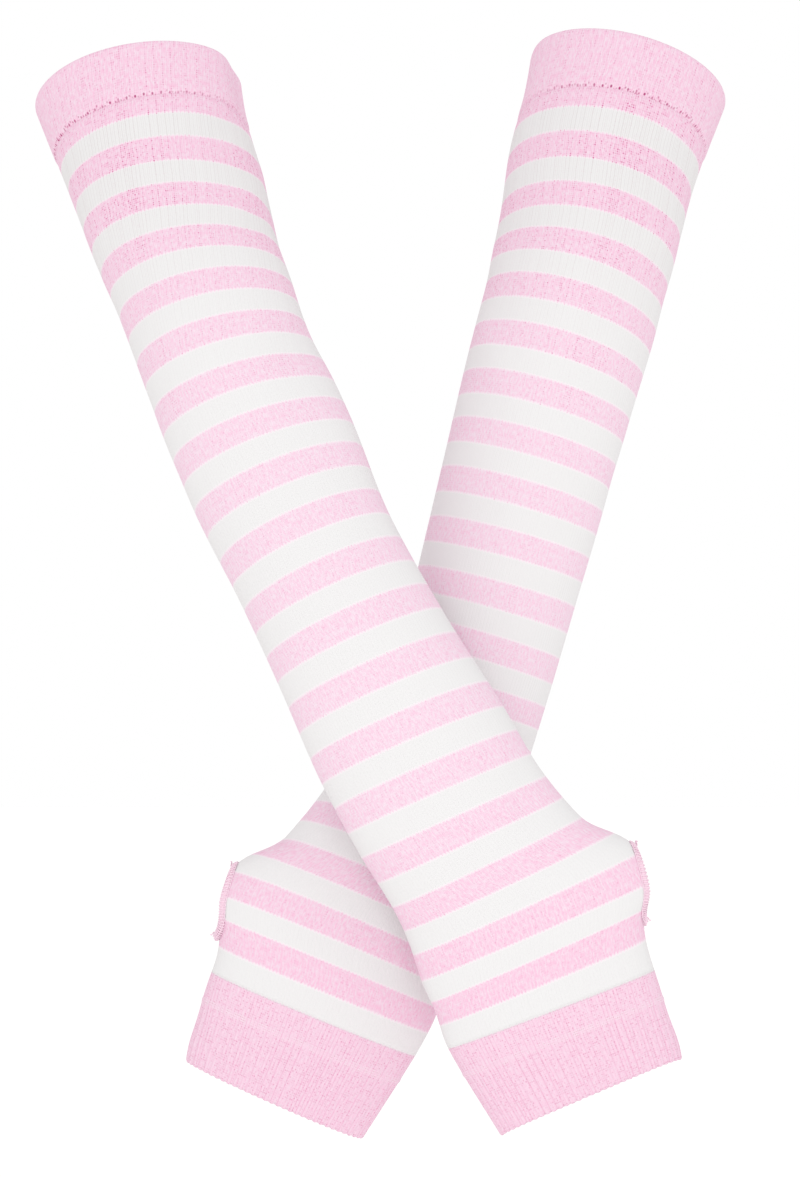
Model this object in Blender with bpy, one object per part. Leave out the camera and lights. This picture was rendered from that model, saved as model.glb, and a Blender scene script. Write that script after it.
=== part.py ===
"""A pair of knitted arm warmers, worn hollow and crossed one in front of the other.

Each sleeve is one knitted tube: a turned double welt at the upper opening, the striped
tube of arm and hand with its thumb hole, a ribbed cuff, and an overlocked thumb edge.
Lengths are in metres unless a name or a table says millimetres. +Z is up, the backs of
the hands face -Y, and the origin is the middle of the front sleeve's upper opening.
"""

import bisect
import math

import bmesh
import bpy
from mathutils import Vector

MM = 0.001

# Cloth walls. The welt is two layers of the tube's jersey; the cuff is a thicker rib.
TUBE_WALL = 1.3 * MM
WELT_WALL = 2.4 * MM
CUFF_WALL = 1.7 * MM
SEAM_GAP = 0.3 * MM

# Cloth distances down a sleeve, in millimetres from the upper hem.
WELT_END = 20.5
TUBE_END = 398.0
CUFF_END = 434.0
PLAIN_CUFF_END = 409.0

# White stripes start at FIRST_WHITE and follow each other at every STRIPE_REPEAT.
FIRST_WHITE = 27.0
WHITE_WIDTH = 10.8
STRIPE_REPEAT = 20.0

# The tube is knitted in one. Its solids are parted where the yarn changes colour, so that
# each is short enough for its collision pieces to leave the slanted hollow open.
PART_EDGES = {
    "top_tube": (WELT_END, FIRST_WHITE + 3 * STRIPE_REPEAT),
    "upper_tube": (FIRST_WHITE + 3 * STRIPE_REPEAT, FIRST_WHITE + 6 * STRIPE_REPEAT + WHITE_WIDTH),
    "middle_tube": (FIRST_WHITE + 6 * STRIPE_REPEAT + WHITE_WIDTH, FIRST_WHITE + 10 * STRIPE_REPEAT),
    "wrist_tube": (FIRST_WHITE + 10 * STRIPE_REPEAT, FIRST_WHITE + 14 * STRIPE_REPEAT),
    "hand_tube": (FIRST_WHITE + 14 * STRIPE_REPEAT, TUBE_END),
}

# The cuff's 1x1 rib: one raised and one sunk column for each rib, evenly spaced round it.
RIBS = 66
RIB_HEIGHT = 0.5 * MM

# The thumb hole, on the thumb side of the hand, and the thread edge round it.
HOLE_HALF_LENGTH = 15.0
HOLE_HALF_TURN = 22.5 / 360
HOLE_ROWS = 6
HOLE_COLUMNS = 4
HOLE_BLEND = 1.8
EDGE_WIDTH = 2.4 * MM
EDGE_THICKNESS = 2.6 * MM
EDGE_SIDES = 6

# How many flat faces the plain walls are divided into, and how far beyond the thumb hole
# and the cuff's plain part the next rows of corners lie, in millimetres of cloth.
WIDE_COLUMNS = 26
TUBE_ROW_STEP = 17.0
ROWS_ABOVE_HOLE = (15.0, 7.0)
ROW_BELOW_HOLE = 6.0
RIB_START = 3.0
FOLD_STEPS = 4
SHARP_ANGLE = 40

# The steps over which a sleeve's direction and its surface's slope are taken.
DIRECTION_STEP = 4.0
SLOPE_STEP = 1.0
SLOPE_TURN = 0.01
GIRTH_STEPS = 360

# The sections of each sleeve, in millimetres. "course" is the cloth distance from the
# upper hem. A course's two ends, seen from the front, are at left and right; "rise" is
# how far its near side stands above the line between them, "depth" is half its size
# front to back, and "y" is how far back its middle lies. "square" is 2 for an oval
# section and more for one with flatter faces.
COLUMNS = ("course", "left_x", "left_z", "right_x", "right_z", "y", "rise", "depth", "square")
FRONT_SECTIONS = (
    (0, -41, -8, 41, 8, 0, 16, 35, 2.0),
    (27, -30, -35, 46, -20, -10, 15, 33.5, 2.0),
    (60, -19, -64, 56, -53, -24, 15.5, 31.5, 2.0),
    (90, -7, -89, 61, -74, -35, 13, 30, 2.0),
    (130, 7, -125, 71, -104, -46, 9.5, 28.5, 2.0),
    (170, 22, -164, 88, -137, -55, 8.5, 27.5, 2.0),
    (210, 42, -202, 103, -173, -63, 7, 27, 2.0),
    (250, 59, -238, 122, -209, -70, 5, 26, 2.05),
    (285, 74, -272, 143, -242, -74, 4, 24, 2.1),
    (315, 89, -300, 159, -269, -77, 1.5, 21.5, 2.15),
    (338, 102, -321, 175, -286, -78, 0, 20, 2.2),
    (352, 108, -334, 192, -295, -79, 0, 19, 2.3),
    (367, 113, -349, 201, -311, -80, 0.5, 17.5, 2.3),
    (382, 118, -360, 198, -325, -80, 0.5, 17, 2.3),
    (398, 123, -374, 202, -344, -81, 1, 16, 2.3),
    (434, 143, -407, 211, -378, -82, 2.5, 14.5, 2.3),
)
REAR_SECTIONS = (
    (0, 158, 20, 237, -2, 30, 15.5, 35, 2.0),
    (27, 150, -15, 226, -31, 19, 16, 33.5, 2.0),
    (60, 145, -49, 217, -64, 5, 14.5, 31.5, 2.0),
    (90, 141, -71, 208, -89, -4, 10, 30, 2.0),
    (130, 131, -107, 198, -125, -12, 6.5, 28.5, 2.0),
    (170, 122, -144, 188, -162, -17, 4, 27.5, 2.0),
    (210, 113, -183, 176, -199, -20.5, 2.5, 26.5, 2.0),
    (250, 104, -221, 164, -239, -23.5, 2, 25, 2.05),
    (285, 89, -254, 154, -270, -27.5, 3, 23, 2.1),
    (315, 74, -279, 143, -299, -32.5, 4, 21, 2.15),
    (338, 59.5, -295, 132, -325, -37, 4.5, 19.5, 2.2),
    (352, 43, -304, 126, -340, -39.5, 4.5, 18.5, 2.3),
    (367, 33, -318, 122, -355, -42, 3.5, 17.5, 2.3),
    (382, 33, -332, 118, -367, -43, 1, 17, 2.3),
    (398, 30, -348, 110.5, -381, -44, 0.5, 16, 2.3),
    (434, 22, -383, 90, -413, -46, 0, 14.5, 2.3),
)
SLEEVES = {
    "front": {"sections": FRONT_SECTIONS, "thumb": "right", "hole": 368.0},
    "rear": {"sections": REAR_SECTIONS, "thumb": "left", "hole": 370.0},
}

PINK = (0.93, 0.63, 0.77, 1.0)
PALE_PINK = (0.94, 0.73, 0.82, 1.0)


def section_value(sections, column, course):
    """A column of the section table at any course, on a smooth curve through its rows."""
    place = COLUMNS.index(column)
    at = [row[0] for row in sections]
    values = [row[place] for row in sections]
    i = min(max(bisect.bisect_right(at, course) - 1, 0), len(at) - 2)

    def slope(k):
        low, high = max(k - 1, 0), min(k + 1, len(at) - 1)
        return (values[high] - values[low]) / (at[high] - at[low])

    span = at[i + 1] - at[i]
    t = (course - at[i]) / span
    return (
        values[i] * (2 * t**3 - 3 * t**2 + 1)
        + slope(i) * span * (t**3 - 2 * t**2 + t)
        + values[i + 1] * (3 * t**2 - 2 * t**3)
        + slope(i + 1) * span * (t**3 - t**2)
    )


def middle(sections, course):
    """The middle of a course, in metres."""
    value = {name: section_value(sections, name, course) for name in COLUMNS[1:6]}
    x = (value["left_x"] + value["right_x"]) / 2
    z = (value["left_z"] + value["right_z"]) / 2
    return Vector((x, value["y"], z)) * MM


def ring(sleeve, course):
    """The course's middle, its half vectors to the thumb side and the near side, and its squareness."""
    sections = sleeve["sections"]
    value = {name: section_value(sections, name, course) for name in COLUMNS[1:]}
    across = Vector((value["right_x"] - value["left_x"], 0, value["right_z"] - value["left_z"]))
    across *= MM / 2
    if sleeve["thumb"] == "left":
        across.negate()
    up = middle(sections, course - DIRECTION_STEP) - middle(sections, course + DIRECTION_STEP)
    up.y = 0
    up.normalize()
    level = math.sqrt(value["depth"] ** 2 - value["rise"] ** 2)
    near = (up * value["rise"] - Vector((0, level, 0))) * MM
    return middle(sections, course), across, near, value["square"]


def on_cloth(sleeve, course, turn):
    """A point of the outer surface. Turn 0 is the thumb side, 0.25 near, 0.5 far from the thumb."""
    centre, across, near, square = ring(sleeve, course)
    angle = 2 * math.pi * turn
    side, face = math.cos(angle), math.sin(angle)
    side = math.copysign(abs(side) ** (2 / square), side)
    face = math.copysign(abs(face) ** (2 / square), face)
    return centre + across * side + near * face


def outward(sleeve, course, turn):
    """The outward normal of the outer surface."""
    above, below = course - SLOPE_STEP, course + SLOPE_STEP
    before, after = turn - SLOPE_TURN, turn + SLOPE_TURN
    down = on_cloth(sleeve, below, turn) - on_cloth(sleeve, above, turn)
    around = on_cloth(sleeve, course, after) - on_cloth(sleeve, course, before)
    normal = down.cross(around).normalized()
    away = on_cloth(sleeve, course, turn) - ring(sleeve, course)[0]
    return normal if normal.dot(away) > 0 else -normal


def in_cloth(sleeve, course, turn, depth):
    """A point as deep under the outer surface as depth says, in metres."""
    return on_cloth(sleeve, course, turn) - outward(sleeve, course, turn) * depth


def around_hole(sleeve, course, turn):
    """Rows and columns near the thumb hole, bent so that the patch's square rim is an oval."""
    along = (course - sleeve["hole"]) / HOLE_HALF_LENGTH
    aside = ((turn + 0.5) % 1 - 0.5) / HOLE_HALF_TURN
    square_reach = max(abs(along), abs(aside))
    if square_reach >= HOLE_BLEND or square_reach == 0:
        return course, turn
    round_reach = math.hypot(along, aside)
    oval = min(1.0, (HOLE_BLEND - square_reach) / (HOLE_BLEND - 1))
    scale = 1 + oval * (square_reach / round_reach - 1)
    return (
        sleeve["hole"] + along * scale * HOLE_HALF_LENGTH,
        aside * scale * HOLE_HALF_TURN,
    )


def evenly(first, last, parts):
    return [first + (last - first) * i / parts for i in range(parts + 1)]


def rim_steps():
    """The (row, column) of each corner round the rim of the hole's patch, in order."""
    rows, columns = HOLE_ROWS, HOLE_COLUMNS
    steps = [(0, j) for j in range(columns)] + [(i, columns) for i in range(rows)]
    steps += [(rows, j) for j in range(columns, 0, -1)] + [(i, 0) for i in range(rows, 0, -1)]
    return steps


def even_turns(sleeve, course, count):
    """Turns that part a course's girth into equal lengths, from the thumb side round."""
    fine = evenly(0, 1, GIRTH_STEPS)
    points = [on_cloth(sleeve, course, turn) for turn in fine]
    lengths = [0.0]
    for before, after in zip(points, points[1:]):
        lengths.append(lengths[-1] + (after - before).length)
    turns = []
    for i in range(count):
        wanted = lengths[-1] * i / count
        k = max(bisect.bisect_right(lengths, wanted) - 1, 0)
        share = (wanted - lengths[k]) / (lengths[k + 1] - lengths[k])
        turns.append(fine[k] + share / GIRTH_STEPS)
    return turns


def knitted_object(name, mesh, colour):
    """Closes up a mesh as a named object with its faces out and its own cloth material."""
    bmesh.ops.recalc_face_normals(mesh, faces=mesh.faces)
    data = bpy.data.meshes.new(name)
    mesh.to_mesh(data)
    mesh.free()
    material = bpy.data.materials.new(name)
    material.use_nodes = True
    shader = material.node_tree.nodes["Principled BSDF"]
    shader.inputs["Base Color"].default_value = colour
    shader.inputs["Roughness"].default_value = 0.9
    shader.inputs["Metallic"].default_value = 0.0
    data.materials.append(material)
    data.shade_smooth()
    data.set_sharp_from_angle(angle=math.radians(SHARP_ANGLE))
    piece = bpy.data.objects.new(name, data)
    bpy.context.scene.collection.objects.link(piece)


def band(mesh, rows, skip=()):
    """Faces between closed rows of corners. skip holds (row, column) of the faces left out."""
    columns = len(rows[0])
    for i in range(len(rows) - 1):
        for j in range(columns):
            if (i, j) in skip:
                continue
            k = (j + 1) % columns
            mesh.faces.new((rows[i][j], rows[i][k], rows[i + 1][k], rows[i + 1][j]))


def make_tube(name, sleeve, edges):
    """A plain length of the striped tube: an outer and an inner wall joined at both ends."""
    first, last = edges[0] + SEAM_GAP / MM / 2, edges[1] - SEAM_GAP / MM / 2
    courses = evenly(first, last, round((last - first) / TUBE_ROW_STEP))
    turns = evenly(0, 1, WIDE_COLUMNS + 2 * HOLE_COLUMNS)[:-1]
    mesh = bmesh.new()
    rows = [[mesh.verts.new(on_cloth(sleeve, course, turn)) for turn in turns] for course in courses]
    for course in reversed(courses):
        rows.append([mesh.verts.new(in_cloth(sleeve, course, turn, TUBE_WALL)) for turn in turns])
    band(mesh, rows + rows[:1])
    knitted_object(name, mesh, PALE_PINK)


def make_hand_tube(name, sleeve, edges):
    """The tube's length over the hand, its two walls joined at both ends and round the thumb hole."""
    hole = sleeve["hole"]
    first, last = edges[0] + SEAM_GAP / MM / 2, edges[1] - SEAM_GAP / MM / 2
    above, below = hole - HOLE_HALF_LENGTH, hole + HOLE_HALF_LENGTH
    plain_end = above - ROWS_ABOVE_HOLE[0]
    courses = evenly(first, plain_end, round((plain_end - first) / TUBE_ROW_STEP))
    courses += [above - ROWS_ABOVE_HOLE[1]]
    top = len(courses)
    courses += evenly(above, below, HOLE_ROWS)
    courses += [below + ROW_BELOW_HOLE, last]
    thumb_side = evenly(-2 * HOLE_HALF_TURN, 2 * HOLE_HALF_TURN, 2 * HOLE_COLUMNS)
    wide_side = evenly(2 * HOLE_HALF_TURN, 1 - 2 * HOLE_HALF_TURN, WIDE_COLUMNS)
    turns = thumb_side + wide_side[1:-1]
    left = HOLE_COLUMNS // 2
    right = left + HOLE_COLUMNS

    mesh = bmesh.new()
    walls = []
    for depth in (0.0, TUBE_WALL):
        rows = []
        for i, course in enumerate(courses):
            row = []
            for j, turn in enumerate(turns):
                in_patch = top < i < top + HOLE_ROWS and left < j < right
                at = around_hole(sleeve, course, turn)
                row.append(None if in_patch else mesh.verts.new(in_cloth(sleeve, *at, depth)))
            rows.append(row)
        walls.append(rows)
    skip = {(i, j) for i in range(top, top + HOLE_ROWS) for j in range(left, right)}
    for rows in walls:
        band(mesh, rows, skip)
    outer, inner = walls
    band(mesh, [outer[0], inner[0]])
    band(mesh, [outer[-1], inner[-1]])
    band(mesh, [[wall[top + i][left + j] for i, j in rim_steps()] for wall in walls])
    knitted_object(name, mesh, PALE_PINK)


def make_welt(name, sleeve):
    """The turned double band: it folds over at the upper hem, so its rim is round."""
    last = WELT_END - SEAM_GAP / MM / 2
    fold = WELT_WALL / 2
    turns = evenly(0, 1, WIDE_COLUMNS + 2 * HOLE_COLUMNS)[:-1]
    profile = [(last, 0.0), (WELT_END / 2, 0.0)]
    for bend in evenly(0, math.pi, FOLD_STEPS):
        profile.append((fold / MM * (1 - math.sin(bend)), fold * (1 - math.cos(bend))))
    profile += [(WELT_END / 2, WELT_WALL), (last, WELT_WALL)]
    mesh = bmesh.new()
    rows = [
        [mesh.verts.new(in_cloth(sleeve, course, turn, depth)) for turn in turns]
        for course, depth in profile
    ]
    band(mesh, rows + rows[:1])
    knitted_object(name, mesh, PINK)


def make_cuff(name, sleeve):
    """The cuff: plain knitting, then ribs raised on the outer points over a plain inside."""
    first = TUBE_END + SEAM_GAP / MM / 2
    mesh = bmesh.new()
    rows = []
    for course in (first, PLAIN_CUFF_END, PLAIN_CUFF_END + RIB_START, CUFF_END):
        sunk = RIB_HEIGHT if course > PLAIN_CUFF_END else 0.0
        turns = even_turns(sleeve, course, 2 * RIBS)
        rows.append(
            [
                mesh.verts.new(in_cloth(sleeve, course, turn, sunk if j % 2 else 0.0))
                for j, turn in enumerate(turns)
            ]
        )
    for course in (CUFF_END, (CUFF_END + first) / 2, first):
        turns = even_turns(sleeve, course, 2 * RIBS)
        rows.append([mesh.verts.new(in_cloth(sleeve, course, turn, CUFF_WALL)) for turn in turns])
    band(mesh, rows + rows[:1])
    knitted_object(name, mesh, PINK)


def make_thumb_edge(name, sleeve):
    """The overlocked thread edge: a ring with flat sides, just inside the thumb hole's rim."""
    rim = []
    for i, j in rim_steps():
        along = 2 * i / HOLE_ROWS - 1
        aside = 2 * j / HOLE_COLUMNS - 1
        reach = math.hypot(along, aside)
        rim.append((along / reach, aside / reach))

    def under(along, aside):
        course, turn = sleeve["hole"] + along * HOLE_HALF_LENGTH, aside * HOLE_HALF_TURN
        return in_cloth(sleeve, course, turn, TUBE_WALL / 2), outward(sleeve, course, turn)

    mesh = bmesh.new()
    rows = []
    for i, (along, aside) in enumerate(rim):
        here, normal = under(along, aside)
        before, after = under(*rim[i - 1])[0], under(*rim[(i + 1) % len(rim)])[0]
        inward = (after - before).cross(normal).normalized()
        if inward.dot(under(0, 0)[0] - here) < 0:
            inward.negate()
        centre = here + inward * (SEAM_GAP + EDGE_WIDTH / 2)
        row = []
        for k in range(EDGE_SIDES):
            side = 2 * math.pi * k / EDGE_SIDES
            offset = inward * math.cos(side) * EDGE_WIDTH / 2
            offset += normal * math.sin(side) * EDGE_THICKNESS / 2
            row.append(mesh.verts.new(centre + offset))
        rows.append(row)
    band(mesh, rows + rows[:1])
    knitted_object(name, mesh, PINK)


for existing in list(bpy.data.objects):
    bpy.data.objects.remove(existing, do_unlink=True)

for side, sleeve in SLEEVES.items():
    make_welt(side + "_welt", sleeve)
    for part, edges in PART_EDGES.items():
        make = make_hand_tube if part == "hand_tube" else make_tube
        make(side + "_" + part, sleeve, edges)
    make_cuff(side + "_cuff", sleeve)
    make_thumb_edge(side + "_thumb_edge", sleeve)
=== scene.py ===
"""A pair of striped knitted arm warmers, worn hollow and crossed, dressed round the CAD frame."""

import math

import bmesh
import bpy
import numpy as np
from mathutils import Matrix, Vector


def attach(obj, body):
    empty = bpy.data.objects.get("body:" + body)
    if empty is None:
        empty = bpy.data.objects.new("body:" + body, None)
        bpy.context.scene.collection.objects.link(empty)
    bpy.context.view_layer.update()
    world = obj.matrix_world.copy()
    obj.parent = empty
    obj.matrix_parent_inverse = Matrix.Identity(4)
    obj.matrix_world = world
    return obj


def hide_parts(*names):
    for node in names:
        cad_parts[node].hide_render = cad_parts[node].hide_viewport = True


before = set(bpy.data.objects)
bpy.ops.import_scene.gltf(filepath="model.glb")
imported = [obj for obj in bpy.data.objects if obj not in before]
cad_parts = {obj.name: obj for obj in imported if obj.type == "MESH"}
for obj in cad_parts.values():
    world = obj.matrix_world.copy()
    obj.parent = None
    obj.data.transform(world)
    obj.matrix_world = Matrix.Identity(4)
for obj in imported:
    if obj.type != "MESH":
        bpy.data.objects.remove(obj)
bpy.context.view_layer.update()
bpy.ops.object.select_all(action="DESELECT")

# Striped tubes, the long plain-knit part of each sleeve. Fine cotton yarn, knitted round on
# one machine from the welt down in pink and white, and cut for the thumb afterwards. The
# cloth is stretched over an arm's form, so its courses run round it in bowed arcs.
MM = 0.001
TUBE_WALL = 1.3
WELT_END = 20.5
TUBE_END = 398.0
CUFF_END = 434.0

# Sections of each sleeve in millimetres, as in the part's source: "course" is the cloth
# distance from the upper hem, a course's two ends seen from the front are at left and
# right, "rise" lifts its near side, "depth" is half its size front to back, "y" is how far
# back its middle lies, and "square" is 2 for an oval.
COLUMNS = ("course", "left_x", "left_z", "right_x", "right_z", "y", "rise", "depth", "square")
FRONT_SECTIONS = (
    (0, -41, -8, 41, 8, 0, 16, 35, 2.0),
    (27, -30, -35, 46, -20, -10, 15, 33.5, 2.0),
    (60, -19, -64, 56, -53, -24, 15.5, 31.5, 2.0),
    (90, -7, -89, 61, -74, -35, 13, 30, 2.0),
    (130, 7, -125, 71, -104, -46, 9.5, 28.5, 2.0),
    (170, 22, -164, 88, -137, -55, 8.5, 27.5, 2.0),
    (210, 42, -202, 103, -173, -63, 7, 27, 2.0),
    (250, 59, -238, 122, -209, -70, 5, 26, 2.05),
    (285, 74, -272, 143, -242, -74, 4, 24, 2.1),
    (315, 89, -300, 159, -269, -77, 1.5, 21.5, 2.15),
    (338, 102, -321, 175, -286, -78, 0, 20, 2.2),
    (352, 108, -334, 192, -295, -79, 0, 19, 2.3),
    (367, 113, -349, 201, -311, -80, 0.5, 17.5, 2.3),
    (382, 118, -360, 198, -325, -80, 0.5, 17, 2.3),
    (398, 123, -374, 202, -344, -81, 1, 16, 2.3),
    (434, 143, -407, 211, -378, -82, 2.5, 14.5, 2.3),
)
REAR_SECTIONS = (
    (0, 158, 20, 237, -2, 30, 15.5, 35, 2.0),
    (27, 150, -15, 226, -31, 19, 16, 33.5, 2.0),
    (60, 145, -49, 217, -64, 5, 14.5, 31.5, 2.0),
    (90, 141, -71, 208, -89, -4, 10, 30, 2.0),
    (130, 131, -107, 198, -125, -12, 6.5, 28.5, 2.0),
    (170, 122, -144, 188, -162, -17, 4, 27.5, 2.0),
    (210, 113, -183, 176, -199, -20.5, 2.5, 26.5, 2.0),
    (250, 104, -221, 164, -239, -23.5, 2, 25, 2.05),
    (285, 89, -254, 154, -270, -27.5, 3, 23, 2.1),
    (315, 74, -279, 143, -299, -32.5, 4, 21, 2.15),
    (338, 59.5, -295, 132, -325, -37, 4.5, 19.5, 2.2),
    (352, 43, -304, 126, -340, -39.5, 4.5, 18.5, 2.3),
    (367, 33, -318, 122, -355, -42, 3.5, 17.5, 2.3),
    (382, 33, -332, 118, -367, -43, 1, 17, 2.3),
    (398, 30, -348, 110.5, -381, -44, 0.5, 16, 2.3),
    (434, 22, -383, 90, -413, -46, 0, 14.5, 2.3),
)

# Soft folds, each a trough (height under 0) or a ridge in the cloth, in millimetres.
# "around" is where it lies round the sleeve: 0 the thumb side, 0.25 the front, 0.5 the far
# side, 0.75 the back. "lean" turns its run from along the sleeve, in degrees.
FOLD_COLUMNS = ("course", "around", "length", "width", "lean", "height")
FRONT_FOLDS = (
    (6, 0.02, 15, 11.0, 0, -3.2),
    (66, 0.0, 20, 12.0, 0, -2.1),
    (145, 0.0, 16, 12.0, 0, 0.9),
    (196, 0.0, 34, 12.0, 0, -1.3),
    (341, 0.0, 10, 10.0, 0, -1.0),
    (390, 0.0, 12, 10.0, 0, -1.0),
    (428, 0.0, 10, 10.0, 0, 1.2),
    (54, 0.5, 20, 12.0, 0, -0.9),
    (165, 0.5, 14, 12.0, 0, -0.8),
    (24, 0.08, 16, 5.0, 62, -0.9),
    (52, 0.06, 22, 5.0, 50, 0.7),
    (70, 0.10, 20, 5.5, 38, -0.7),
    (96, 0.42, 26, 6.0, -44, 0.5),
    (150, 0.14, 34, 7.0, 32, -0.5),
    (205, 0.40, 30, 6.0, -38, -0.5),
    (262, 0.16, 26, 6.5, 56, 0.5),
    (318, 0.10, 24, 6.0, 30, -0.6),
    (330, 0.36, 26, 7.0, -30, 0.5),
    (40, 0.66, 24, 6.0, 40, -0.8),
    (88, 0.84, 26, 6.0, -46, 0.7),
    (146, 0.70, 34, 7.0, 34, -0.7),
    (212, 0.82, 30, 7.0, -36, 0.6),
    (270, 0.68, 28, 6.5, 48, -0.7),
    (322, 0.86, 26, 6.0, -30, -0.6),
)
REAR_FOLDS = (
    (12, 0.0, 14, 11.0, 0, -1.8),
    (82, 0.0, 16, 12.0, 0, 0.8),
    (172, 0.0, 50, 12.0, 0, -0.7),
    (344, 0.0, 9, 10.0, 0, -1.7),
    (390, 0.0, 12, 12.0, 0, -1.9),
    (428, 0.0, 10, 10.0, 0, 1.1),
    (50, 0.5, 20, 12.0, 0, -1.4),
    (102, 0.5, 20, 12.0, 0, 1.0),
    (168, 0.5, 26, 12.0, 0, -1.1),
    (26, 0.40, 16, 5.0, -60, -0.8),
    (60, 0.42, 22, 5.5, -48, 0.6),
    (92, 0.36, 24, 6.0, -36, -0.6),
    (130, 0.10, 30, 6.5, 40, 0.5),
    (186, 0.38, 30, 6.0, -42, -0.5),
    (236, 0.12, 28, 6.5, 36, -0.5),
    (300, 0.38, 26, 6.0, -52, 0.5),
    (326, 0.12, 24, 6.0, 34, -0.6),
    (46, 0.84, 24, 6.0, -42, -0.8),
    (96, 0.66, 26, 6.0, 44, 0.7),
    (152, 0.80, 34, 7.0, -36, -0.7),
    (218, 0.68, 30, 7.0, 38, 0.6),
    (276, 0.82, 28, 6.5, -50, -0.7),
    (320, 0.64, 26, 6.0, 32, -0.6),
)
# How far the knitting has slipped down the form at a course, in millimetres, and how far
# further on the thumb side than on the other, because the tube sits a little askew.
FRONT_SLIP = (
    (20, 0), (36, -0.6), (62, -0.5), (90, 0.4), (150, 0.3), (210, -0.7), (260, -0.3), (310, -1.2),
    (336, -0.8), (366, -2.2), (380, -0.8), (392, 0),
)
REAR_SLIP = (
    (20, 0), (36, -0.6), (66, -0.8), (90, 0.4), (150, 0), (210, -0.5), (290, 0), (330, 2.4),
    (347, 2.3), (358, 0.4), (378, -1.5), (392, 0),
)
ASKEW_COURSES, ASKEW_SHARES = (20, 40, 120, 260), (0, 1, 1, 0)
# The knitted columns wind round a little towards the elbow: a share of the way round.
TWIST_COURSES = (0, 140)
SLEEVES = {
    "front": {
        "sections": FRONT_SECTIONS, "folds": FRONT_FOLDS, "slip": FRONT_SLIP, "askew": 1.1, "twist": 0.12,
        "dip": 0.4, "back_hem": 2.6,
        "thumb": 1, "hole": 368.0,
    },
    "rear": {
        "sections": REAR_SECTIONS, "folds": REAR_FOLDS, "slip": REAR_SLIP, "askew": -0.9, "twist": 0.02,
        "dip": 1.1, "back_hem": 0.6,
        "thumb": -1, "hole": 370.0,
    },
}


def section_at(sleeve, course):
    """The table's values at each course of an array, on a smooth curve through its rows."""
    table = np.array(sleeve["sections"], float)
    at, values = table[:, 0], table[:, 1:]
    slope = np.empty_like(values)
    slope[1:-1] = (values[2:] - values[:-2]) / (at[2:] - at[:-2])[:, None]
    slope[0] = (values[1] - values[0]) / (at[1] - at[0])
    slope[-1] = (values[-1] - values[-2]) / (at[-1] - at[-2])
    i = np.clip(np.searchsorted(at, course, side="right") - 1, 0, len(at) - 2)
    span = (at[i + 1] - at[i])[..., None]
    t = (course - at[i])[..., None] / span
    return (
        values[i] * (2 * t**3 - 3 * t**2 + 1)
        + slope[i] * span * (t**3 - 2 * t**2 + t)
        + values[i + 1] * (3 * t**2 - 2 * t**3)
        + slope[i + 1] * span * (t**3 - t**2)
    )


def form_point(sleeve, course, turn):
    """Points of the form that the cloth is stretched over, in metres, from equal angles round it."""
    course, turn = np.broadcast_arrays(np.asarray(course, float), np.asarray(turn, float))
    left_x, left_z, right_x, right_z, y, rise, depth, square = np.moveaxis(
        section_at(sleeve, course), -1, 0
    )
    higher, lower = section_at(sleeve, course - 4), section_at(sleeve, course + 4)
    up_x = (higher[..., 0] + higher[..., 2] - lower[..., 0] - lower[..., 2]) / 2
    up_z = (higher[..., 1] + higher[..., 3] - lower[..., 1] - lower[..., 3]) / 2
    size = np.hypot(up_x, up_z)
    angle = 2 * math.pi * turn
    side, face = np.cos(angle), np.sin(angle)
    side = np.sign(side) * np.abs(side) ** (2 / square) * sleeve["thumb"]
    face = np.sign(face) * np.abs(face) ** (2 / square)
    x = (left_x + right_x) / 2 + side * (right_x - left_x) / 2 + face * rise * up_x / size
    z = (left_z + right_z) / 2 + side * (right_z - left_z) / 2 + face * rise * up_z / size
    return np.stack([x, y - face * np.sqrt(depth**2 - rise**2), z], axis=-1) * MM


# Knitted columns are evenly spaced round the cloth, so each sleeve gets a chart from even
# shares of the way round ("around") to angles of its section, every 2 mm down the sleeve.
CHART_STEP = 2.0
CHART_COLUMNS = 720


def chart(sleeve):
    courses = np.arange(-CHART_STEP, CUFF_END + 2 * CHART_STEP, CHART_STEP)
    turns = np.linspace(0, 1, CHART_COLUMNS + 1)
    rings = form_point(sleeve, courses[:, None], turns[None, :])
    steps = np.linalg.norm(np.diff(rings, axis=1), axis=2)
    length = np.concatenate([np.zeros((len(courses), 1)), np.cumsum(steps, axis=1)], axis=1)
    sleeve["chart"] = np.array([np.interp(turns, row / row[-1], turns) for row in length])
    sleeve["girth"] = length[:, -1] / MM
    sleeve["chart_courses"] = courses


def cloth_point(sleeve, course, around):
    """Points of the cloth's nominal outer surface, from even shares of the way round."""
    course, around = np.broadcast_arrays(np.asarray(course, float), np.asarray(around, float))
    rows = np.clip((course - sleeve["chart_courses"][0]) / CHART_STEP, 0, len(sleeve["chart"]) - 1.001)
    whole = np.floor(around)
    places = (around - whole) * CHART_COLUMNS
    i, j = rows.astype(int), np.minimum(places.astype(int), CHART_COLUMNS - 1)
    a, b = rows - i, places - j
    table = sleeve["chart"]
    turn = (table[i, j] * (1 - b) + table[i, j + 1] * b) * (1 - a)
    turn += (table[i + 1, j] * (1 - b) + table[i + 1, j + 1] * b) * a
    return form_point(sleeve, course, turn + whole)


def cloth_normal(sleeve, course, around):
    down = cloth_point(sleeve, course + 1.0, around) - cloth_point(sleeve, course - 1.0, around)
    aside = cloth_point(sleeve, course, around + 0.004) - cloth_point(sleeve, course, around - 0.004)
    normal = np.cross(aside, down) * sleeve["thumb"]
    return normal / np.linalg.norm(normal, axis=-1, keepdims=True)


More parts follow.
